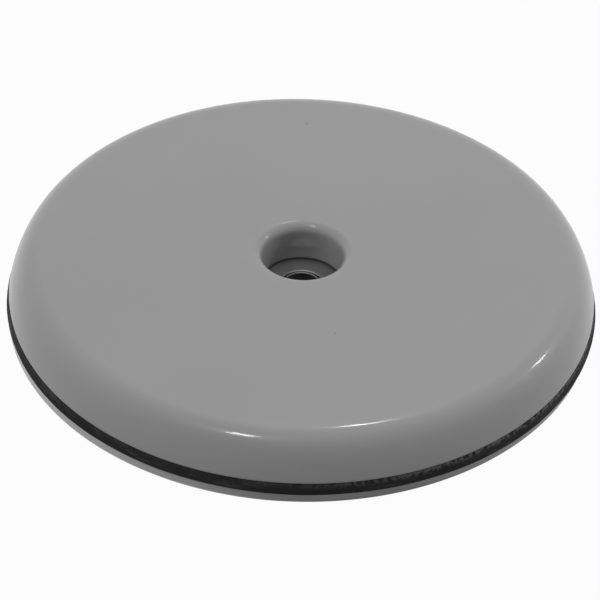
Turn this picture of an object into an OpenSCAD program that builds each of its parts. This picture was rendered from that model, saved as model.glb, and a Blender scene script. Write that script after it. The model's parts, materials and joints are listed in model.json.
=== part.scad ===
// Self-adhesive furniture glide: a round low-friction cap on a foam cushion, an
// adhesive pad under its release liner, and a washered centre hole for a screw.
// Millimetres. Z is the axis of the disc, z = 0 is the underside of the liner,
// and the sliding face is on top.

/* [Glide] */
// Diameter of the foam cushion at its foot, the nominal size of the glide
glide_d = 60; // [50:0.5:80]
// Depth of the release liner
liner_t = 0.15; // [0.1:0.05:0.4]
// Depth of the adhesive pad
pad_t = 0.9; // [0.7:0.05:2]
// Depth of the foam cushion
foam_t = 1.1; // [1.05:0.05:3]
// How far the edge of the pad and liner lies inside the foam
pad_inset = 0.2; // [0:0.05:0.8]
// How far the cut edge of the foam leans in, from its foot to its top
foam_lean = 0.25; // [0:0.05:0.5]

/* [Sliding cap] */
// Height of the cap above the foam
cap_h = 4.15; // [3:0.05:6.5]
// How far the lower edge of the cap lies inside the foam
cap_inset = 0.25; // [0:0.05:0.8]
// Width of the curved side, from the lower edge in to the flat sliding face
side_run = 3.75; // [2:0.05:8]
// Upright half-axis of the rounded curve that the side follows, at least cap_h
side_rise = 13.5; // [8:0.5:20]
// Power of that curve: 2 is an ellipse, and a higher one has a fuller shoulder
side_power = 2.6; // [2:0.1:4]
// Rounding of the lower outer edge
edge_r = 0.15; // [0.05:0.05:0.5]
// Diameter of the hole that lets the head of the screw in
head_hole_d = 8.2; // [6.5:0.1:10.5]
// Rounding of the lip of that hole
lip_r = 1; // [0.4:0.1:2.4]
// Rounding of the lower end of the wall of that hole
foot_r = 0.12; // [0.05:0.01:0.3]

/* [Screw seat] */
// Outer diameter of the steel washer
washer_d = 12; // [11:0.1:14]
// Depth of the steel washer
washer_t = 0.9; // [0.5:0.05:1]
// Rounding of the rim of the washer
washer_edge_r = 0.1; // [0.02:0.01:0.14]
// Bevel round the bore of the washer
bevel = 0.1; // [0.05:0.01:0.25]
// Bore of the sleeve that the screw passes through
screw_hole_d = 3.7; // [3:0.1:5]
// Wall of the sleeve
sleeve_wall = 0.17; // [0.12:0.01:0.25]
// How far the sleeve stands above the washer
sleeve_proud = 0.05; // [0:0.01:0.2]
// Width of the foot flange of the sleeve, beyond its tube
foot_w = 1; // [0.5:0.1:2]
// Depth of the foot flange of the sleeve
foot_t = 0.2; // [0.1:0.05:0.4]

/* [Clearances] */
// Gap round the tube and the foot of the sleeve, in the pad
sleeve_gap = 0.04; // [0.02:0.01:0.1]
// Gap between the bore of the washer and the sleeve
washer_gap = 0.25; // [0.1:0.05:0.35]
// Gap between the rim of the washer and the foam
window_gap = 0.15; // [0.05:0.05:0.4]

/* [Hidden] */
$fn = 180;
side_steps = 28;   // points along the curved side
round_steps = 10;  // points along each rounding

// Levels, from the liner up
pad_z = liner_t;
foam_z = pad_z + pad_t;
cap_z = foam_z + foam_t;
face_z = cap_z + cap_h;
washer_top = foam_z + washer_t;
sleeve_top = washer_top + sleeve_proud;

// Radii, from the axis out
bore_r = screw_hole_d / 2;
tube_r = bore_r + sleeve_wall;
tube_hole_r = tube_r + sleeve_gap;
washer_bore_r = tube_r + washer_gap;
foot_r_out = tube_r + foot_w;
head_hole_r = head_hole_d / 2;
washer_r = washer_d / 2;
window_r = washer_r + window_gap;
foam_r = glide_d / 2;
pad_r = foam_r - pad_inset;
edge_out_r = foam_r - cap_inset;
flat_r = edge_out_r - side_run;

// The side follows (x / side_half)^side_power + (z / side_rise)^side_power = 1, with
// its top at the rim of the flat face and its centre side_rise below the face.
side_centre_z = face_z - side_rise;
function up(z) = pow((z - side_centre_z) / side_rise, side_power);
side_half = side_run / pow(1 - up(cap_z), 1 / side_power);
side_start = asin(sqrt(up(cap_z + edge_r)));

// Points on a circle of radius r about [x, z], from angle a to angle b
function arc(x, z, r, a, b) = [
    for (i = [0 : round_steps])
        let (t = a + (b - a) * i / round_steps)
        [x + r * cos(t), z + r * sin(t)]
];

// Points up the curved side, from just above the lower edge to the flat face
function side_curve() = [
    for (i = [0 : side_steps])
        let (
            t = side_start + (90 - side_start) * i / side_steps,
            x = side_half * pow(cos(t), 2 / side_power),
            z = side_rise * pow(sin(t), 2 / side_power)
        )
        [flat_r + x, side_centre_z + z]
];

// A flat ring between two radii, standing on level z, with an outer edge that may lean in
module ring(inner_r, outer_r, z, t, lean = 0) {
    translate([0, 0, z])
        difference() {
            cylinder(h = t, r1 = outer_r, r2 = outer_r - lean);
            translate([0, 0, -t])
                cylinder(h = 3 * t, r = inner_r);
        }
}

// Moulded low-friction cap: flat face, curved side, rounded lip into the centre hole
module sliding_cap() {
    side_foot_r = side_curve()[0][0];
    color("#959595")
        rotate_extrude()
            polygon(concat(
                arc(head_hole_r + foot_r, cap_z + foot_r, foot_r, 180, 270),
                arc(side_foot_r - edge_r, cap_z + edge_r, edge_r, 270, 360),
                side_curve(),
                arc(head_hole_r + lip_r, face_z - lip_r, lip_r, 90, 180)
            ));
}

// Die-cut foam cushion, with a window that the washer lies in
module foam_cushion() {
    color("#242424")
        ring(window_r, foam_r, foam_z, foam_t, foam_lean);
}

// Adhesive pad, with a hole for the sleeve and a recess below for its foot
module adhesive_pad() {
    color("#7d7d7d")
        difference() {
            ring(tube_hole_r, pad_r, pad_z, pad_t);
            translate([0, 0, pad_z - foot_t])
                cylinder(h = 2 * foot_t, r = foot_r_out + sleeve_gap);
        }
}

// Release liner over the adhesive, punched for the screw
module release_liner() {
    color("#b4b4b4")
        ring(tube_hole_r, pad_r, 0, liner_t);
}

// Steel washer on the pad: rounded rim, bevelled bore
module washer() {
    rim_r = washer_r - washer_edge_r;
    color("#8c8c8c")
        rotate_extrude()
            polygon(concat(
                [[washer_bore_r, foam_z]],
                arc(rim_r, foam_z + washer_edge_r, washer_edge_r, 270, 360),
                arc(rim_r, washer_top - washer_edge_r, washer_edge_r, 0, 90),
                [[washer_bore_r + bevel, washer_top]],
                [[washer_bore_r, washer_top - bevel]]
            ));
}

// Sleeve that lines the screw hole: foot flange in the pad, tube up through the
// washer, rounded upper rim
module screw_sleeve() {
    rim_r = sleeve_wall / 2;
    color("#a0a0a0")
        rotate_extrude()
            polygon(concat(
                [[bore_r, pad_z]],
                [[foot_r_out, pad_z]],
                [[foot_r_out, pad_z + foot_t - sleeve_gap]],
                [[tube_r, pad_z + foot_t - sleeve_gap]],
                arc(bore_r + rim_r, sleeve_top - rim_r, rim_r, 0, 180)
            ));
}

sliding_cap();
foam_cushion();
adhesive_pad();
release_liner();
washer();
screw_sleeve();
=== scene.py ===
"""Looks of a round self-adhesive furniture glide.

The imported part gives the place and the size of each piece. This script builds the
same pieces again as fine revolved surfaces, dresses each in its own finish, and
sets up the floor, the lamps and the camera. All lengths are in metres and z is the
axis of the disc. Its underside is at z = 0, a hair above the floor, and its sliding
face is up.
"""

import json
import logging
import math
from dataclasses import dataclass, replace
from enum import Enum

import bpy
import numpy as np
from mathutils import Matrix, Vector


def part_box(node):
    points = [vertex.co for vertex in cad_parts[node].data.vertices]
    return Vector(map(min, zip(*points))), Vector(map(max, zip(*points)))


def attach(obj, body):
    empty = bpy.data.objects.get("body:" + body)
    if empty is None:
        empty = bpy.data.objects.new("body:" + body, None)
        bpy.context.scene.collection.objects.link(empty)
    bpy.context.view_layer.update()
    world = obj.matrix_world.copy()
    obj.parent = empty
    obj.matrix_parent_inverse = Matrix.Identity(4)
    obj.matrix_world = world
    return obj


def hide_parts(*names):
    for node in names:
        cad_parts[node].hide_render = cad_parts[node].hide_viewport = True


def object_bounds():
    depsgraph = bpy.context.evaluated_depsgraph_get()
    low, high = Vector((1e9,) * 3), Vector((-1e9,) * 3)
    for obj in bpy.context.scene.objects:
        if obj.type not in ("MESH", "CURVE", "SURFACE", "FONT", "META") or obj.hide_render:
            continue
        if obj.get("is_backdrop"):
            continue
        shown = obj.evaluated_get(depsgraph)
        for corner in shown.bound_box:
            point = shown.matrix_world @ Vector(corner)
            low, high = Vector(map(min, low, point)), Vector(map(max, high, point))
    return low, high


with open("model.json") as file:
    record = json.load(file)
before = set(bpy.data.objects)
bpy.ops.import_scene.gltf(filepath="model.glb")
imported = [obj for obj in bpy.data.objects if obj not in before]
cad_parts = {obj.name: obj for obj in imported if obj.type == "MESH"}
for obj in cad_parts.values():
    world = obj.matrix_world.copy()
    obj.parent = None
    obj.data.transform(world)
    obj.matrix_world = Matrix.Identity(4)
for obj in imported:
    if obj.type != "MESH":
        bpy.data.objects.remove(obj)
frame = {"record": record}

LOG = logging.getLogger("glide")
MM = 0.001
BODY = "root"
SEED = 20

Colour = tuple[float, float, float]
Point = tuple[float, float]
Socket = bpy.types.NodeSocket
# The two ends of a range, each a number or a socket.
Window = tuple[float | Socket, float | Socket]
# Colour, roughness and height of a finish.
Looks = tuple[Socket, Socket, Socket]

# Most values of a noise lie in this window.
NOISE_WINDOW = (0.3, 0.7)
# Numbers of the colour sockets of a Mix node.
MIX_A, MIX_B, MIX_RESULT = 6, 7, 2


class Gloss(Enum):
    """Roughness of the surfaces, from the smoothest to the dullest."""

    SATIN = 0.34
    DULL = 0.55
    MATTE = 0.85


def mount_radius(name: str) -> float:
    """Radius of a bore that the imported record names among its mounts.

    Args:
        name: name of the mount.

    Returns:
        The radius in metres.
    """
    dims = {mount["name"]: mount["dims"] for mount in frame["record"]["mounts"]}
    return dims[name]["r_mm"] * MM


# ---------------------------------------------------------------- surfaces


def line(start: Point, end: Point, count: int) -> np.ndarray:
    """Points on a straight run, p = start + (end - start) t, without its last point.

    Args:
        start: radius and height of the first point.
        end: radius and height of the point that the next run starts with.
        count: number of points.

    Returns:
        An array of count rows of radius and height.
    """
    t = np.linspace(0.0, 1.0, count, endpoint=False)[:, None]
    return np.array(start) * (1.0 - t) + np.array(end) * t


def arc(centre: Point, radius: float, turn: tuple[float, float], count: int) -> np.ndarray:
    """Points on an arc of a circle, centre + radius * (cos a, sin a), without its last point.

    Args:
        centre: radius and height of the centre.
        radius: radius of the circle.
        turn: first and last angle in degrees.
        count: number of points.

    Returns:
        An array of count rows of radius and height.
    """
    a = np.radians(np.linspace(turn[0], turn[1], count, endpoint=False))[:, None]
    return np.array(centre) + radius * np.hstack([np.cos(a), np.sin(a)])


def shoulder(centre: Point, half: tuple[float, float], power: float, start_deg: float,
             count: int) -> np.ndarray:
    """Points up a rounded side, from an angle to its top, without the last point.

    They follow (x / half[0]) ** power + (z / half[1]) ** power = 1 about the centre: an
    ellipse where power is 2, and a fuller shoulder where it is higher.

    Args:
        centre: radius and height of the centre.
        half: level and upright half-axes.
        power: power of the curve.
        start_deg: first angle in degrees, where 90 is the top.
        count: number of points.

    Returns:
        An array of count rows of radius and height.
    """
    a = np.radians(np.linspace(start_deg, 90.0, count, endpoint=False))[:, None]
    return np.array(centre) + np.array(half) * np.hstack([np.cos(a), np.sin(a)]) ** (2.0 / power)


def ring_noise(segments: int, rows: int, waves: int, rng: np.random.Generator,
               drift_limit: float = 1.5) -> np.ndarray:
    """Smooth noise that closes on itself, the sum of cos(k u + phase + drift v) / sqrt(k).

    Here u runs round the axis, v runs from 0 to 1 along the profile, and k from 2 up.

    Args:
        segments: steps round the axis.
        rows: points of the profile.
        waves: how many waves are summed.
        rng: seeded source of the phases and the drifts.
        drift_limit: most that a wave's phase drifts along the profile, in radians.

    Returns:
        An array of segments by rows, between -1 and 1.
    """
    u = np.linspace(0.0, 2.0 * np.pi, segments, endpoint=False)[:, None, None]
    v = np.linspace(0.0, 1.0, rows)[None, :, None]
    k = np.arange(2, waves + 2)[None, None, :]
    phase = rng.uniform(0.0, 2.0 * np.pi, waves)[None, None, :]
    drift = rng.uniform(-drift_limit, drift_limit, waves)[None, None, :]
    noise = (np.cos(k * u + phase + drift * v) / np.sqrt(k)).sum(axis=2)
    return noise / np.abs(noise).max()


def pit_noise(segments: int, rows: int, blur: int, rng: np.random.Generator) -> np.ndarray:
    """Fine pits: random numbers averaged over a few neighbours, with the high side cut off.

    Args:
        segments: steps round the axis.
        rows: points of the profile.
        blur: how many times each number is averaged with the two beside it.
        rng: seeded source of the numbers.

    Returns:
        An array of segments by rows, 0 between the pits and down to -1 in them.
    """
    noise = rng.normal(size=(segments, rows))
    for _ in range(blur):
        noise = (np.roll(noise, 1, axis=0) + noise + np.roll(noise, -1, axis=0)) / 3.0
    noise = noise / np.abs(noise).max()
    return np.minimum(noise, 0.0)


@dataclass
class Surface:
    """A closed surface turned about z from a closed outline of radius and height.

    The outline runs outwards along the underside, up, back inwards and down, so that
    the faces point out. A point is ((r + d) cos u + shift_x, (r + d) sin u, z), where d
    is its offset, given for each segment and each point of the outline.
    """

    outline: np.ndarray
    segments: int
    offset: np.ndarray | None = None
    shift_x: float = 0.0

    def vertices(self) -> np.ndarray:
        """Works out the vertices, ring by ring.

        Returns:
            An array of three columns.
        """
        u = np.linspace(0.0, 2.0 * np.pi, self.segments, endpoint=False)[:, None]
        r = self.outline[:, 0][None, :] + (0.0 if self.offset is None else self.offset)
        r, z = np.broadcast_arrays(r, self.outline[:, 1][None, :] + 0.0 * u)
        xyz = np.stack([r * np.cos(u) + self.shift_x, r * np.sin(u), z], axis=2)
        return xyz.reshape(-1, 3)

    def quads(self) -> np.ndarray:
        """Numbers the corners of the faces, closed both ways round.

        Returns:
            An array with the four corners of each face in a row.
        """
        rows = len(self.outline)
        i = np.arange(self.segments)[:, None]
        j = np.arange(rows)[None, :]
        i2 = (i + 1) % self.segments
        j2 = (j + 1) % rows
        corners = [i * rows + j, i2 * rows + j, i2 * rows + j2, i * rows + j2]
        return np.stack(corners, axis=2).reshape(-1, len(corners))

    def make(self, name: str, sharp_deg: float) -> bpy.types.Object:
        """Puts the surface into a new object at the origin.

        Args:
            name: name of the object and its mesh.
            sharp_deg: edges that turn by more than this many degrees stay sharp.

        Returns:
            The object, linked into the scene.
        """
        xyz, quads = self.vertices(), self.quads()
        starts = np.arange(0, quads.size, quads.shape[1], dtype=np.int32)
        mesh = bpy.data.meshes.new(name)
        mesh.vertices.add(len(xyz))
        mesh.vertices.foreach_set("co", xyz.astype(np.float32).ravel())
        mesh.loops.add(quads.size)
        mesh.loops.foreach_set("vertex_index", quads.astype(np.int32).ravel())
        mesh.polygons.add(len(quads))
        mesh.polygons.foreach_set("loop_start", starts)
        mesh.polygons.foreach_set("use_smooth", np.ones(len(quads), dtype=bool))
        mesh.update(calc_edges=True)
        mesh.validate()
        mesh.set_sharp_from_angle(angle=math.radians(sharp_deg))
        piece = bpy.data.objects.new(name, mesh)
        bpy.context.scene.collection.objects.link(piece)
        return piece


# ------------------------------------------------------------ shader groups


class Nodes:
    """Short calls for one node tree, of a material, a world or a group."""

    def __init__(self, tree: bpy.types.NodeTree) -> None:
        """Keeps the tree that the calls work on."""
        self.tree = tree

    def add(self, kind: str, **values: object) -> bpy.types.Node:
        """Adds a node and sets its properties.

        Args:
            kind: Blender's name of the node's type.
            **values: properties of the node.

        Returns:
            The new node.
        """
        node = self.tree.nodes.new(kind)
        for key, value in values.items():
            setattr(node, key, value)
        return node

    def link(self, source: Socket, target: Socket) -> None:
        """Joins an output to an input."""
        self.tree.links.new(source, target)

    def put(self, target: Socket, value: object) -> None:
        """Links a value to an input if it is a socket, and sets it there otherwise.

        Args:
            target: the input.
            value: a socket, or what the input holds as its own value.
        """
        if isinstance(value, bpy.types.NodeSocket):
            self.link(value, target)
        else:
            target.default_value = value

    def math(self, operation: str, a: object, b: object = 0.0) -> Socket:
        """Adds a Math node.

        Args:
            operation: Blender's name of the operation.
            a: first socket or number.
            b: second socket or number, where the operation takes two.

        Returns:
            The result.
        """
        node = self.add("ShaderNodeMath", operation=operation)
        self.put(node.inputs[0], a)
        self.put(node.inputs[1], b)
        return node.outputs[0]

    def remap(self, value: Socket, window: Window, to: Window = (0.0, 1.0)) -> Socket:
        """Moves a value from one range into another, smoothly, and holds it inside.

        Args:
            value: the value.
            window: the two ends that it comes from.
            to: the two ends that it goes to.

        Returns:
            The new value.
        """
        node = self.add("ShaderNodeMapRange", interpolation_type="SMOOTHSTEP")
        for slot, number in enumerate((value, *window, *to)):
            self.put(node.inputs[slot], number)
        return node.outputs[0]

    def mix(self, mask: Socket, a: object, b: object) -> Socket:
        """Blends two colours.

        Args:
            mask: 0 for the first colour and 1 for the second.
            a: first colour, as a socket or four numbers.
            b: second colour.

        Returns:
            The blended colour.
        """
        node = self.add("ShaderNodeMix", data_type="RGBA")
        self.put(node.inputs["Factor"], mask)
        self.put(node.inputs[MIX_A], a)
        self.put(node.inputs[MIX_B], b)
        return node.outputs[MIX_RESULT]

    def noise(self, vector: Socket, scale: object, detail: float = 3.0, rough: float = 0.5
              ) -> Socket:
        """Adds a Noise Texture.

        Args:
            vector: where it is read.
            scale: how fine it is.
            detail: how many finer layers it has.
            rough: how strong they are.

        Returns:
            Its value.
        """
        node = self.add("ShaderNodeTexNoise")
        self.put(node.inputs["Vector"], vector)
        self.put(node.inputs["Scale"], scale)
        node.inputs["Detail"].default_value = detail
        node.inputs["Roughness"].default_value = rough
        return node.outputs["Fac"]

    def axes(self, vector: Socket) -> tuple[Socket, Socket, Socket]:
        """Takes a vector apart.

        Args:
            vector: the vector.

        Returns:
            Its x, y and z.
        """
        node = self.add("ShaderNodeSeparateXYZ")
        self.link(vector, node.inputs[0])
        return tuple(node.outputs)

    def effect(self, group: bpy.types.NodeTree, **values: object) -> bpy.types.Node:
        """Places a shared group.

        Args:
            group: the group.
            **values: what goes into its inputs, with underscores read as spaces.

        Returns:
            The group's node.
        """
        node = self.add("ShaderNodeGroup", node_tree=group)
        for key, value in values.items():
            self.put(node.inputs[key.replace("_", " ")], value)
        return node


def new_group(name: str, inputs: dict[str, float | None], outputs: tuple[str, ...]
              ) -> tuple[Nodes, dict[str, Socket], bpy.types.Node]:
    """Starts a shader node group with named sockets.

    Args:
        name: name of the group.
        inputs: name of each input, with its default, or None for a vector.
        outputs: name of each output, all of them values.

    Returns:
        The group's nodes, its inputs by name, and the node that takes its outputs.
    """
    tree = bpy.data.node_groups.new(name, "ShaderNodeTree")
    for key, default in inputs.items():
        kind = "NodeSocketVector" if default is None else "NodeSocketFloat"
        socket = tree.interface.new_socket(key, in_out="INPUT", socket_type=kind)
        if default is not None:
            socket.default_value = default
    for key in outputs:
        tree.interface.new_socket(key, in_out="OUTPUT", socket_type="NodeSocketFloat")
    nodes = Nodes(tree)
    entry, leave = nodes.add("NodeGroupInput"), nodes.add("NodeGroupOutput")
    return nodes, {s.name: s for s in entry.outputs if s.name}, leave


def grain_group() -> bpy.types.NodeTree:
    """Fine grain over a broad drift.

    Returns:
        A group that puts out their sum as Height, and the broad part alone as Drift.
    """
    nodes, ins, leave = new_group(
        "fine_grain", {"Vector": None, "Grain Scale": 4000.0, "Drift Scale": 60.0, "Grain": 0.5},
        ("Height", "Drift"))
    fine = nodes.noise(ins["Vector"], ins["Grain Scale"], detail=2.0)
    drift = nodes.noise(ins["Vector"], ins["Drift Scale"])
    height = nodes.math("ADD", nodes.math("MULTIPLY", fine, ins["Grain"]), drift)
    nodes.link(height, leave.inputs["Height"])
    nodes.link(drift, leave.inputs["Drift"])
    return nodes.tree


def speck_group() -> bpy.types.NodeTree:
    """Scattered specks: a Voronoi cell holds one where its random number is under Cover.

    Returns:
        A group that puts out 1 on a speck and 0 elsewhere as Mask.
    """
    nodes, ins, leave = new_group(
        "dust_specks", {"Vector": None, "Scale": 300.0, "Size": 0.12, "Cover": 0.1}, ("Mask",))
    cells = nodes.add("ShaderNodeTexVoronoi", voronoi_dimensions="2D")
    nodes.link(ins["Vector"], cells.inputs["Vector"])
    nodes.link(ins["Scale"], cells.inputs["Scale"])
    near = nodes.math("LESS_THAN", cells.outputs["Distance"], ins["Size"])
    split = nodes.add("ShaderNodeSeparateColor")
    nodes.link(cells.outputs["Color"], split.inputs[0])
    chosen = nodes.math("LESS_THAN", split.outputs[0], ins["Cover"])
    nodes.link(nodes.math("MULTIPLY", near, chosen), leave.inputs["Mask"])
    return nodes.tree


def turned_group() -> bpy.types.NodeTree:
    """Fine rings about z, as tool marks: noise of the distance from the axis alone.

    Returns:
        A group that puts out the rings as Height and the distance as Radius.
    """
    nodes, ins, leave = new_group(
        "turned_rings", {"Vector": None, "Rings": 9000.0}, ("Height", "Radius"))
    x, y, _ = nodes.axes(ins["Vector"])
    squares = [nodes.math("MULTIPLY", way, way) for way in (x, y)]
    radius = nodes.math("SQRT", nodes.math("ADD", *squares))
    rings = nodes.add("ShaderNodeTexNoise", noise_dimensions="1D")
    nodes.link(radius, rings.inputs["W"])
    nodes.link(ins["Rings"], rings.inputs["Scale"])
    rings.inputs["Detail"].default_value = 2.0
    nodes.link(rings.outputs["Fac"], leave.inputs["Height"])
    nodes.link(radius, leave.inputs["Radius"])
    return nodes.tree


def side_group() -> bpy.types.NodeTree:
    """One side of the disc, which lies at a bearing b that is counted from +X towards +Y.

    Returns:
        A group that puts out Mask, which is 1 where x cos b + y sin b is above High and 0
        where it is below Low, and the height as Z.
    """
    nodes, ins, leave = new_group(
        "one_side", {"Vector": None, "Bearing": 0.0, "Low": 0.0, "High": 0.03}, ("Mask", "Z"))
    x, y, z = nodes.axes(ins["Vector"])
    reach = [nodes.math("MULTIPLY", way, nodes.math(wave, ins["Bearing"]))
             for way, wave in ((x, "COSINE"), (y, "SINE"))]
    mask = nodes.remap(nodes.math("ADD", *reach), (ins["Low"], ins["High"]))
    nodes.link(mask, leave.inputs["Mask"])
    nodes.link(z, leave.inputs["Z"])
    return nodes.tree


@dataclass(frozen=True)
class Effects:
    """The shader groups that the finishes share, each built once."""

    grain: bpy.types.NodeTree
    specks: bpy.types.NodeTree
    rings: bpy.types.NodeTree
    side: bpy.types.NodeTree

    @classmethod
    def build(cls) -> "Effects":
        """Builds the four groups."""
        return cls(grain_group(), speck_group(), turned_group(), side_group())


# ----------------------------------------------------------------- finishes


@dataclass(frozen=True)
class Finish:
    """A plain finish: grain in relief, and a broad drift of its tone and its gloss."""

    name: str
    colour: Colour
    gloss: Gloss
    relief: float
    relief_scale: float
    drift_scale: float = 60.0
    tone: float = 0.06
    metallic: float = 0.0
    shine: float = 0.5
    coat: float = 0.0
    coat_rough: float = 0.08
    gloss_spread: float = 0.1

    def shade(self, factor: float) -> tuple[float, float, float, float]:
        """The colour times a factor, with full alpha."""
        return (*(min(c * factor, 1.0) for c in self.colour), 1.0)

    def tint(self, nodes: Nodes, drift: Socket) -> Socket:
        """Lets the colour drift between a darker and a paler tone.

        Args:
            nodes: the material's nodes.
            drift: noise that says which.

        Returns:
            The colour.
        """
        mask = nodes.remap(drift, NOISE_WINDOW)
        return nodes.mix(mask, self.shade(1.0 - self.tone), self.shade(1.0 + self.tone))

    def roughness(self, nodes: Nodes, drift: Socket) -> Socket:
        """Lets the gloss drift to either side by its spread.

        Args:
            nodes: the material's nodes.
            drift: noise that says how far.

        Returns:
            The roughness.
        """
        low, high = 1.0 - self.gloss_spread, 1.0 + self.gloss_spread
        return nodes.remap(drift, NOISE_WINDOW, (self.gloss.value * low, self.gloss.value * high))

    def looks(self, nodes: Nodes, place: Socket, effects: Effects) -> Looks:
        """Works out what changes over the surface.

        Args:
            nodes: the material's nodes.
            place: the Object coordinates.
            effects: the shared shader groups.

        Returns:
            The colour, the roughness, and the height of the relief.
        """
        grain = nodes.effect(effects.grain, Vector=place, Grain_Scale=self.relief_scale,
                             Drift_Scale=self.drift_scale)
        drift = grain.outputs["Drift"]
        return self.tint(nodes, drift), self.roughness(nodes, drift), grain.outputs["Height"]

    def material(self, effects: Effects) -> bpy.types.Material:
        """Builds the material, with its even values on the shader's own inputs.

        Args:
            effects: the shared shader groups.

        Returns:
            The finished material.
        """
        material = bpy.data.materials.new(self.name)
        material.use_nodes = True
        material.diffuse_color = self.shade(1.0)
        nodes = Nodes(material.node_tree)
        shader = material.node_tree.nodes["Principled BSDF"]
        shader.inputs["Metallic"].default_value = self.metallic
        shader.inputs["Specular IOR Level"].default_value = self.shine
        shader.inputs["Coat Weight"].default_value = self.coat
        shader.inputs["Coat Roughness"].default_value = self.coat_rough
        place = nodes.add("ShaderNodeTexCoord").outputs["Object"]
        colour, rough, height = self.looks(nodes, place, effects)
        bump = nodes.add("ShaderNodeBump")
        bump.inputs["Distance"].default_value = self.relief
        nodes.link(height, bump.inputs["Height"])
        nodes.link(bump.outputs["Normal"], shader.inputs["Normal"])
        nodes.link(colour, shader.inputs["Base Color"])
        nodes.link(rough, shader.inputs["Roughness"])
        return material


@dataclass(frozen=True)
class CutFilm(Finish):
    """A cut layer of tape or film, with painted light: it is coloured paler on the side of the
    disc where the light falls.
    """

    # Painted light: how much paler the lit side is coloured, and where that side lies.
    pale: float = 2.0
    bearing_deg: float = 205.0
    reach: Window = (8.0 * MM, 30.0 * MM)

    def looks(self, nodes: Nodes, place: Socket, effects: Effects) -> Looks:
        """Lays the painted light of the lit side over the plain finish.

        Args:
            nodes: the material's nodes.
            place: the Object coordinates.
            effects: the shared shader groups.

        Returns:
            The colour, the roughness, and the height of the relief.
        """
        colour, rough, height = super().looks(nodes, place, effects)
        # Painted light: the lit side of the disc is coloured paler.
        side = nodes.effect(effects.side, Vector=place, Low=self.reach[0], High=self.reach[1],
                            Bearing=math.radians(self.bearing_deg))
        return nodes.mix(side.outputs["Mask"], colour, self.shade(self.pale)), rough, height


@dataclass(frozen=True)
class MouldedPlastic(Finish):
    """Glossy moulded plastic with a few specks, and painted shade that fades up from its foot."""

    speck_colour: Colour = (0.12, 0.12, 0.12)
    speck_scale: float = 300.0
    speck_size: float = 0.025
    speck_cover: float = 0.012
    speck_rough: float = 0.7
    # Painted shade at the foot: its colour, how high it reaches and how strong it is.
    painted_shade_colour: Colour = (0.0, 0.0, 0.0)
    painted_shade_height: float = 0.35 * MM
    painted_shade: float = 0.3
    foot_z: float = 0.0

    def looks(self, nodes: Nodes, place: Socket, effects: Effects) -> Looks:
        """Lays the painted shade at the foot and the specks over the plain finish.

        Args:
            nodes: the material's nodes.
            place: the Object coordinates.
            effects: the shared shader groups.

        Returns:
            The colour, the roughness, and the height of the relief.
        """
        colour, rough, height = super().looks(nodes, place, effects)
        _, _, z = nodes.axes(place)
        # Painted shade: the colour darkens from the foot up to the given height.
        painted_shade = nodes.remap(z, (self.foot_z, self.foot_z + self.painted_shade_height), (self.painted_shade, 0.0))
        specks = nodes.effect(effects.specks, Vector=place, Scale=self.speck_scale,
                              Size=self.speck_size, Cover=self.speck_cover).outputs["Mask"]
        colour = nodes.mix(painted_shade, colour, (*self.painted_shade_colour, 1.0))
        colour = nodes.mix(specks, colour, (*self.speck_colour, 1.0))
        dull = nodes.math("MULTIPLY", specks, self.speck_rough)
        return colour, nodes.math("MAXIMUM", rough, dull), height


@dataclass(frozen=True)
class CutFoam(Finish):
    """Closed-cell foam: cells in relief, paler streaks, and a dusty, frayed upper edge."""

    streak_colour: Colour = (0.035, 0.035, 0.035)
    streak_stretch: tuple[float, float, float] = (1.0, 1.0, 5.0)
    streak_scale: float = 350.0
    streak_detail: float = 5.0
    streak_fine: float = 0.6
    streak_window: Window = (0.52, 0.72)
    streak_gloss: float = 0.75
    cell_scale: float = 6000.0
    dust_colour: Colour = (0.11, 0.11, 0.11)
    dust_scale: float = 2600.0
    dust_window: Window = (0.38, 0.6)
    dust_depth: float = 0.65 * MM
    dust_bearing_deg: float = -35.0
    dust_reach: Window = (12.0 * MM, 28.0 * MM)
    dust_elsewhere: float = 0.1
    top_z: float = 0.0

    def dust(self, nodes: Nodes, place: Socket, effects: Effects) -> Socket:
        """Spreads small flecks of dust towards the upper edge, mostly on one side.

        Args:
            nodes: the material's nodes.
            place: the Object coordinates.
            effects: the shared shader groups.

        Returns:
            A mask that is 1 where the dust lies.
        """
        side = nodes.effect(effects.side, Vector=place, Low=self.dust_reach[0],
                            High=self.dust_reach[1], Bearing=math.radians(self.dust_bearing_deg))
        rise = nodes.remap(side.outputs["Z"], (self.top_z - self.dust_depth, self.top_z))
        fleck = nodes.remap(nodes.noise(place, self.dust_scale), self.dust_window)
        where = nodes.math("MAXIMUM", side.outputs["Mask"], self.dust_elsewhere)
        return nodes.math("MULTIPLY", nodes.math("MULTIPLY", where, rise), fleck)

    def looks(self, nodes: Nodes, place: Socket, effects: Effects) -> Looks:
        """Cuts the cells, draws the streaks with stretched noise, and lays on the dust.

        Args:
            nodes: the material's nodes.
            place: the Object coordinates.
            effects: the shared shader groups.

        Returns:
            The colour, the roughness, and the height of the relief.
        """
        stretch = nodes.add("ShaderNodeMapping")
        stretch.inputs["Scale"].default_value = self.streak_stretch
        nodes.link(place, stretch.inputs["Vector"])
        streak = nodes.noise(stretch.outputs["Vector"], self.streak_scale, self.streak_detail,
                             self.streak_fine)
        mask = nodes.remap(streak, self.streak_window)
        colour = nodes.mix(mask, self.shade(1.0), (*self.streak_colour, 1.0))
        dust = self.dust(nodes, place, effects)
        colour = nodes.mix(dust, colour, (*self.dust_colour, 1.0))
        rough = nodes.remap(streak, NOISE_WINDOW,
                            (self.gloss.value, self.gloss.value * self.streak_gloss))
        cells = nodes.add("ShaderNodeTexVoronoi")
        cells.inputs["Scale"].default_value = self.cell_scale
        nodes.link(place, cells.inputs["Vector"])
        return colour, rough, nodes.math("ADD", cells.outputs["Distance"], streak)


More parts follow.
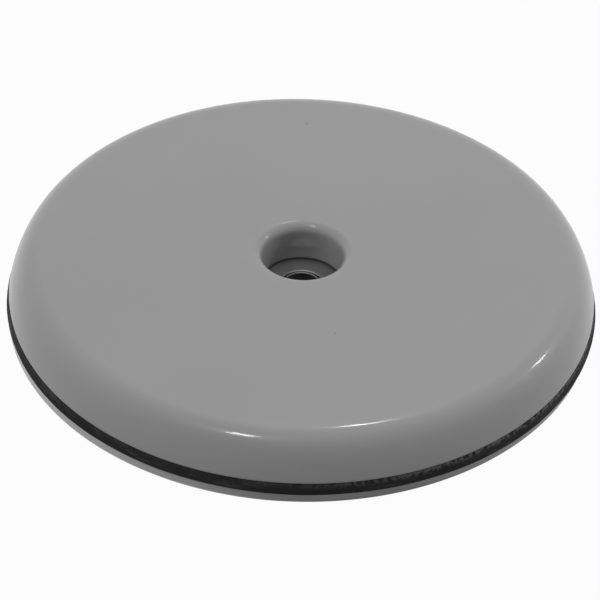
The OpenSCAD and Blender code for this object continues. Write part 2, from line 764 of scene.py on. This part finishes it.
@dataclass(frozen=True)
class TurnedSteel(Finish):
    """Plain steel with fine rings about the axis, and painted shade: its bore is coloured near
    black inside.
    """

    gloss_spread: float = 0.2
    # Painted shade inside the bore: its colour, and the radius and level that bound it.
    painted_bore_shade: Colour = (0.01, 0.01, 0.01)
    bore_radius: float = 0.0
    bore_top: float = 0.0

    def looks(self, nodes: Nodes, place: Socket, effects: Effects) -> Looks:
        """Cuts the rings, which vary the gloss too, and paints shade into the bore below its rim.

        Args:
            nodes: the material's nodes.
            place: the Object coordinates.
            effects: the shared shader groups.

        Returns:
            The colour, the roughness, and the height of the relief.
        """
        rings = nodes.effect(effects.rings, Vector=place, Rings=self.relief_scale)
        grain = nodes.effect(effects.grain, Vector=place, Grain_Scale=self.relief_scale,
                             Drift_Scale=self.drift_scale)
        _, _, z = nodes.axes(place)
        # Painted shade: the bore below its rim is coloured near black.
        inside = nodes.math("LESS_THAN", rings.outputs["Radius"], self.bore_radius)
        below = nodes.math("LESS_THAN", z, self.bore_top)
        colour = nodes.mix(nodes.math("MULTIPLY", inside, below),
                           self.tint(nodes, grain.outputs["Drift"]), (*self.painted_bore_shade, 1.0))
        height = rings.outputs["Height"]
        return colour, self.roughness(nodes, height), height


# ------------------------------------------------------------ sub-assemblies


def dress(piece: bpy.types.Object, node: str, material: bpy.types.Material) -> None:
    """Gives a piece its material, and lets it stand for its CAD node.

    Args:
        piece: the new object.
        node: the CAD node that it replaces.
        material: its finish.
    """
    piece.data.materials.append(material)
    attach(piece, BODY)
    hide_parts(node)
    LOG.info("%s: %d faces for %s", piece.name, len(piece.data.polygons), node)


@dataclass
class SlidingCap:
    """The moulded cap: flat sliding face, rounded side, rounded lip and centre hole.

    A field that ends in steps is the number of points along that run of its section.
    """

    side_run: float = 3.75 * MM
    side_rise: float = 13.5 * MM
    side_power: float = 2.6
    inset: float = 0.25 * MM
    edge_r: float = 0.15 * MM
    hole_r: float = mount_radius("head_hole")
    lip_r: float = 1.0 * MM
    foot_r: float = 0.12 * MM
    segments: int = 640
    sharp_deg: float = 60.0
    foot_steps: int = 6
    underside_steps: int = 6
    edge_steps: int = 8
    side_steps: int = 56
    face_steps: int = 24
    lip_steps: int = 24
    wall_steps: int = 10
    finish: MouldedPlastic = MouldedPlastic(
        "cap_plastic", (0.275, 0.275, 0.275), Gloss.SATIN, 0.004 * MM, 2500.0, 45.0, 0.015,
        shine=0.2, coat=0.45)

    def side(self, low_z: float, high_z: float, outer: float) -> np.ndarray:
        """Points up the rounded side, which runs level into the flat face at its top.

        The curve's power and upright half-axis are given. Its level half-axis is the one
        with which it reaches the outer radius at the level of the cap's foot.

        Args:
            low_z: level of the cap's foot.
            high_z: level of its flat face.
            outer: outer radius at the foot.

        Returns:
            An array of rows of radius and height, from above the lower edge's rounding.
        """
        centre_z = high_z - self.side_rise
        foot, start = (((z - centre_z) / self.side_rise) ** self.side_power
                       for z in (low_z, low_z + self.edge_r))
        half = self.side_run / (1.0 - foot) ** (1.0 / self.side_power)
        start_deg = math.degrees(math.asin(math.sqrt(start)))
        return shoulder((outer - self.side_run, centre_z), (half, self.side_rise),
                        self.side_power, start_deg, self.side_steps)

    def outline(self) -> np.ndarray:
        """Section of the cap, from the foot of the hole's wall outwards and round.

        Returns:
            An array of rows of radius and height.
        """
        low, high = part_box("sliding_cap")
        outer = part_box("foam_cushion")[1].x - self.inset
        side = self.side(low.z, high.z, outer)
        foot = (self.hole_r + self.foot_r, low.z + self.foot_r)
        edge = (side[0, 0] - self.edge_r, low.z + self.edge_r)
        lip = (self.hole_r + self.lip_r, high.z - self.lip_r)
        return np.concatenate([
            arc(foot, self.foot_r, (180, 270), self.foot_steps),
            line((foot[0], low.z), (edge[0], low.z), self.underside_steps),
            arc(edge, self.edge_r, (270, 360), self.edge_steps),
            side,
            line((outer - self.side_run, high.z), (lip[0], high.z), self.face_steps),
            arc(lip, self.lip_r, (90, 180), self.lip_steps),
            line((self.hole_r, lip[1]), (self.hole_r, foot[1]), self.wall_steps),
        ])

    def build(self, effects: Effects) -> None:
        """Builds and dresses the cap, with its painted shade starting at its foot.

        Args:
            effects: the shared shader groups.
        """
        finish = replace(self.finish, foot_z=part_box("sliding_cap")[0].z)
        piece = Surface(self.outline(), self.segments).make("cap_moulding", self.sharp_deg)
        dress(piece, "sliding_cap", finish.material(effects))


@dataclass
class Laminate:
    """The die-cut layers under the cap: foam cushion, adhesive pad and release liner.

    A field that ends in steps is the number of points along that run of a section, and
    one that ends in waves is how many waves are summed round an edge.
    """

    segments: int = 900
    sharp_deg: float = 50.0
    edge_r: float = 0.06 * MM
    edge_share: float = 0.25
    foam_wobble: float = 0.03 * MM
    foam_pit: float = 0.06 * MM
    pit_blur: int = 1
    film_wobble: float = 0.015 * MM
    film_shift: float = -0.12 * MM
    foam_lean: float = 0.25 * MM
    window_gap: float = 0.15 * MM
    sleeve_hole_r: float = 2.06 * MM
    flat_steps: int = 12
    edge_steps: int = 4
    hole_steps: int = 3
    foam_steps: int = 12
    pad_steps: int = 8
    liner_steps: int = 3
    foam_waves: int = 24
    pad_waves: int = 16
    liner_waves: int = 10
    foam: CutFoam = CutFoam(
        "foam_rubber", (0.012, 0.012, 0.012), Gloss.MATTE, 0.05 * MM, 6000.0, shine=0.15)
    # Both films are coloured paler on one side as painted light.
    pad: CutFilm = CutFilm(
        "adhesive_tape", (0.2, 0.2, 0.2), Gloss.SATIN, 0.015 * MM, 3000.0, 250.0, 0.15,
        shine=0.7)
    liner: CutFilm = CutFilm(
        "liner_film", (0.24, 0.24, 0.24), Gloss.SATIN, 0.01 * MM, 1500.0, 120.0, 0.08,
        shine=0.7)

    def section(self, node: str, inner: float, steps: int, lean: float = 0.0
                ) -> tuple[np.ndarray, np.ndarray]:
        """Section of a flat ring with slightly rounded outer edges.

        Args:
            node: CAD node that gives the two levels and the outer radius at the foot.
            inner: radius of the hole.
            steps: points up the cut edge.
            lean: how far the cut edge leans in from its foot to its top.

        Returns:
            The outline, and a mask that is 1 on the points of the cut edge.
        """
        low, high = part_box(node)
        e = min(self.edge_r, (high.z - low.z) * self.edge_share)
        outer, top = high.x, high.x - lean
        parts = [
            line((inner, low.z), (outer - e, low.z), self.flat_steps),
            arc((outer - e, low.z + e), e, (270, 360), self.edge_steps),
            line((outer, low.z + e), (top, high.z - e), steps),
            arc((top - e, high.z - e), e, (0, 90), self.edge_steps),
            line((top - e, high.z), (inner, high.z), self.flat_steps),
            line((inner, high.z), (inner, low.z), self.hole_steps),
        ]
        on_edge = (0.0, 1.0, 1.0, 1.0, 0.0, 0.0)
        mask = np.concatenate([np.full(len(part), on) for part, on in zip(parts, on_edge)])
        return np.concatenate(parts), mask

    def build_foam(self, effects: Effects, rng: np.random.Generator) -> None:
        """Builds the black foam, with a wavering, pitted cut edge that is dusty at its top.

        Args:
            effects: the shared shader groups.
            rng: seeded source of the wavering and the pits.
        """
        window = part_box("washer")[1].x + self.window_gap
        outline, mask = self.section("foam_cushion", window, self.foam_steps, self.foam_lean)
        wave = ring_noise(self.segments, len(outline), self.foam_waves, rng) * self.foam_wobble
        pits = pit_noise(self.segments, len(outline), self.pit_blur, rng) * self.foam_pit
        surface = Surface(outline, self.segments, (wave + pits) * mask[None, :])
        finish = replace(self.foam, top_z=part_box("foam_cushion")[1].z)
        piece = surface.make("foam_layer", self.sharp_deg)
        dress(piece, "foam_cushion", finish.material(effects))

    def build_pad(self, effects: Effects, rng: np.random.Generator) -> None:
        """Builds the grey adhesive pad, a hair off centre.

        Args:
            effects: the shared shader groups.
            rng: seeded source of the wavering.
        """
        outline, mask = self.section("adhesive_pad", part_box("screw_sleeve")[1].x, self.pad_steps)
        wave = ring_noise(self.segments, len(outline), self.pad_waves, rng) * self.film_wobble
        surface = Surface(outline, self.segments, wave * mask[None, :], self.film_shift)
        piece = surface.make("adhesive_layer", self.sharp_deg)
        dress(piece, "adhesive_pad", self.pad.material(effects))

    def build_liner(self, effects: Effects, rng: np.random.Generator) -> None:
        """Builds the release liner, in line with the pad.

        Args:
            effects: the shared shader groups.
            rng: seeded source of the wavering.
        """
        outline, mask = self.section("release_liner", self.sleeve_hole_r, self.liner_steps)
        wave = ring_noise(self.segments, len(outline), self.liner_waves, rng) * self.film_wobble
        surface = Surface(outline, self.segments, wave * mask[None, :], self.film_shift)
        piece = surface.make("liner_layer", self.sharp_deg)
        dress(piece, "release_liner", self.liner.material(effects))


@dataclass
class WasherAndSleeve:
    """The steel washer at the foot of the hole, and the sleeve that lines its bore.

    A field that ends in steps is the number of points along that run of a section. One
    that ends in dark_out or dark_down is how far outside the bore's wall, or below the
    end of its rim, the painted shade of the bore stops.
    """

    segments: int = 256
    sharp_deg: float = 30.0
    bore_r: float = mount_radius("screw_hole")
    wall: float = 0.17 * MM
    gap: float = 0.25 * MM
    rim_r: float = 0.1 * MM
    bevel: float = 0.1 * MM
    flange_t: float = 0.2 * MM
    flange_gap: float = 0.04 * MM
    washer_dark_out: float = 0.02 * MM
    washer_dark_down: float = 0.01 * MM
    sleeve_dark_out: float = 0.03 * MM
    sleeve_dark_down: float = 0.005 * MM
    under_steps: int = 6
    rim_steps: int = 6
    edge_steps: int = 2
    top_steps: int = 16
    bevel_steps: int = 3
    bore_steps: int = 4
    flange_steps: int = 4
    tube_steps: int = 8
    lip_steps: int = 14
    lining_steps: int = 10
    washer: TurnedSteel = TurnedSteel(
        "washer_steel", (0.28, 0.28, 0.28), Gloss.DULL, 0.004 * MM, 9000.0, 400.0, 0.1, 1.0)
    sleeve: TurnedSteel = TurnedSteel(
        "sleeve_steel", (0.25, 0.25, 0.25), Gloss.DULL, 0.003 * MM, 9000.0, 400.0, 0.1, 1.0)

    def build_washer(self, effects: Effects) -> None:
        """Builds the washer, with a rounded rim and a bevelled bore.

        Args:
            effects: the shared shader groups.
        """
        low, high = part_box("washer")
        bore = self.bore_r + self.wall + self.gap
        rim = high.x - self.rim_r
        rim_low, rim_high = low.z + self.rim_r, high.z - self.rim_r
        bevel_z = high.z - self.bevel
        outline = np.concatenate([
            line((bore, low.z), (rim, low.z), self.under_steps),
            arc((rim, rim_low), self.rim_r, (270, 360), self.rim_steps),
            line((high.x, rim_low), (high.x, rim_high), self.edge_steps),
            arc((rim, rim_high), self.rim_r, (0, 90), self.rim_steps),
            line((rim, high.z), (bore + self.bevel, high.z), self.top_steps),
            line((bore + self.bevel, high.z), (bore, bevel_z), self.bevel_steps),
            line((bore, bevel_z), (bore, low.z), self.bore_steps),
        ])
        # The painted shade of the bore reaches just past its wall and just below its bevel.
        finish = replace(self.washer, bore_radius=bore + self.washer_dark_out,
                         bore_top=bevel_z - self.washer_dark_down)
        piece = Surface(outline, self.segments).make("steel_washer", self.sharp_deg)
        dress(piece, "washer", finish.material(effects))

    def build_sleeve(self, effects: Effects) -> None:
        """Builds the sleeve, with its foot flange and its rounded upper rim.

        Args:
            effects: the shared shader groups.
        """
        low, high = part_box("screw_sleeve")
        tube = self.bore_r + self.wall
        lip = self.wall / 2.0
        lip_z = high.z - lip
        flange_top = low.z + self.flange_t - self.flange_gap
        outline = np.concatenate([
            line((self.bore_r, low.z), (high.x, low.z), self.flange_steps),
            line((high.x, low.z), (high.x, flange_top), self.edge_steps),
            line((high.x, flange_top), (tube, flange_top), self.flange_steps),
            line((tube, flange_top), (tube, lip_z), self.tube_steps),
            arc((self.bore_r + lip, lip_z), lip, (0, 180), self.lip_steps),
            line((self.bore_r, lip_z), (self.bore_r, low.z), self.lining_steps),
        ])
        # The painted shade of the bore reaches just past its lining and just below its rim.
        finish = replace(self.sleeve, bore_radius=self.bore_r + self.sleeve_dark_out,
                         bore_top=lip_z - self.sleeve_dark_down)
        piece = Surface(outline, self.segments).make("steel_sleeve", self.sharp_deg)
        dress(piece, "screw_sleeve", finish.material(effects))


# -------------------------------------------------------------------- studio


@dataclass(frozen=True)
class Lamp:
    """An area lamp that looks at the disc from a compass bearing and a height.

    A lamp that isn't mirrored lights the disc but leaves no highlight on it.
    """

    name: str
    bearing_deg: float
    height_deg: float
    distance: float
    width: float
    depth: float
    power: float
    mirrored: bool = True

    def build(self) -> None:
        """Adds the lamp. Its bearing is counted from +Y towards +X."""
        light = bpy.data.lights.new(self.name, "AREA")
        light.shape = "RECTANGLE"
        light.size, light.size_y, light.energy = self.width, self.depth, self.power
        bearing, height = math.radians(self.bearing_deg), math.radians(self.height_deg)
        way = Vector((math.sin(bearing) * math.cos(height), math.cos(bearing) * math.cos(height),
                      math.sin(height)))
        lamp = bpy.data.objects.new(self.name, light)
        lamp.matrix_world = (Matrix.Translation(way * self.distance)
                             @ way.to_track_quat("Z", "Y").to_matrix().to_4x4())
        lamp.visible_glossy = self.mirrored
        bpy.context.scene.collection.objects.link(lamp)
        LOG.info("lamp %s", self.name)


@dataclass
class Studio:
    """Pale floor, soft surround, lamps and camera."""

    floor_half: float = 2.0
    floor_drop: float = 0.02 * MM
    floor_colour: Colour = (0.4, 0.4, 0.4)
    floor_white: float = 0.96
    ambient: float = 0.235
    lamps: tuple[Lamp, ...] = (
        Lamp("glint_left_front", -146.5, 66.5, 0.6, 0.07, 0.07, 0.52),
        Lamp("glint_back", 6.0, 53.2, 0.7, 0.03, 0.03, 0.17),
        Lamp("glint_right", 71.0, 33.0, 0.6, 0.06, 0.06, 0.3),
        Lamp("fill_left", -95.0, 38.0, 0.8, 0.9, 0.7, 2.4, False),
        Lamp("hard_left", -95.0, 41.0, 0.8, 0.08, 0.08, 0.45, False),
        Lamp("fill_back", 6.0, 54.0, 0.7, 0.3, 0.3, 0.82, False),
        Lamp("fill_right", 74.0, 27.0, 0.6, 0.3, 0.3, 1.3, False),
    )
    lens_mm: float = 140.28
    film_mm: float = 36.0
    near_clip: float = 0.01
    distance: float = 0.24
    height_deg: float = 39.18
    roll_deg: float = 1.72
    aim: tuple[float, float, float] = (-0.14 * MM, -0.07 * MM, -0.08 * MM)

    @staticmethod
    def seen(nodes: Nodes) -> Socket:
        """Tells what is looked at from what only lights the disc.

        Args:
            nodes: nodes of the floor's material or of the world.

        Returns:
            1 for rays from the camera, in reflections and through glass, and else 0.
        """
        path = nodes.add("ShaderNodeLightPath")
        mirrored = nodes.math("ADD", path.outputs["Is Camera Ray"], path.outputs["Is Glossy Ray"])
        total = nodes.math("ADD", mirrored, path.outputs["Is Transmission Ray"])
        return nodes.math("MINIMUM", total, 1.0)

    def build_floor(self) -> None:
        """Adds the floor: pale, nearly white to the eye, and still taking the shadow."""
        h, z = self.floor_half, -self.floor_drop
        mesh = bpy.data.meshes.new("floor")
        mesh.from_pydata([(-h, -h, z), (h, -h, z), (h, h, z), (-h, h, z)], [], [(0, 1, 2, 3)])
        floor = bpy.data.objects.new("floor", mesh)
        bpy.context.scene.collection.objects.link(floor)
        material = bpy.data.materials.new("floor_paint")
        material.use_nodes = True
        nodes = Nodes(material.node_tree)
        shader = material.node_tree.nodes["Principled BSDF"]
        shader.inputs["Base Color"].default_value = (*self.floor_colour, 1.0)
        shader.inputs["Roughness"].default_value = 1.0
        shader.inputs["Specular IOR Level"].default_value = 0.0
        glow = nodes.add("ShaderNodeEmission")
        blend = nodes.add("ShaderNodeMixShader")
        nodes.link(nodes.math("MULTIPLY", self.seen(nodes), self.floor_white), blend.inputs[0])
        nodes.link(shader.outputs[0], blend.inputs[1])
        nodes.link(glow.outputs[0], blend.inputs[2])
        nodes.link(blend.outputs[0], material.node_tree.nodes["Material Output"].inputs[0])
        mesh.materials.append(material)
        floor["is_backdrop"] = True

    def build_world(self) -> None:
        """Sets the surround: white to the eye and in reflections, dimmer as a light."""
        world = bpy.data.worlds.new("surround")
        world.use_nodes = True
        nodes = Nodes(world.node_tree)
        ground = world.node_tree.nodes["Background"]
        ground.inputs["Color"].default_value = (1.0, 1.0, 1.0, 1.0)
        strength = nodes.remap(self.seen(nodes), (0.0, 1.0), (self.ambient, 1.0))
        nodes.link(strength, ground.inputs["Strength"])
        bpy.context.scene.world = world

    def build_camera(self) -> None:
        """Adds the camera in front of the disc, looking down on it with a slight roll."""
        height = math.radians(self.height_deg)
        place = Vector((0.0, -math.cos(height), math.sin(height))) * self.distance
        look = Vector(self.aim) - place
        turn = look.to_track_quat("-Z", "Y").to_matrix().to_4x4()
        roll = Matrix.Rotation(math.radians(self.roll_deg), 4, "Z")
        data = bpy.data.cameras.new("camera")
        data.lens, data.sensor_width, data.clip_start = self.lens_mm, self.film_mm, self.near_clip
        camera = bpy.data.objects.new("camera", data)
        camera.matrix_world = Matrix.Translation(place) @ turn @ roll
        bpy.context.scene.collection.objects.link(camera)
        bpy.context.scene.camera = camera

    def build(self) -> None:
        """Builds the whole studio."""
        bpy.context.scene.view_settings.view_transform = "Standard"
        self.build_floor()
        self.build_world()
        for lamp in self.lamps:
            lamp.build()
        self.build_camera()


def corners() -> list[list[float]]:
    """Lowest and highest corner of the whole object, as plain lists."""
    return [[float(c) for c in corner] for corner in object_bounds()]


def main() -> None:
    """Builds the glide from the sliding face down, then the studio."""
    logging.basicConfig(level=logging.INFO)
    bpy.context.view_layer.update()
    rng = np.random.default_rng(SEED)
    effects = Effects.build()
    SlidingCap().build(effects)
    layers = Laminate()
    layers.build_foam(effects, rng)
    layers.build_pad(effects, rng)
    layers.build_liner(effects, rng)
    fittings = WasherAndSleeve()
    fittings.build_washer(effects)
    fittings.build_sleeve(effects)
    Studio().build()


if __name__ == "__main__":
    main()
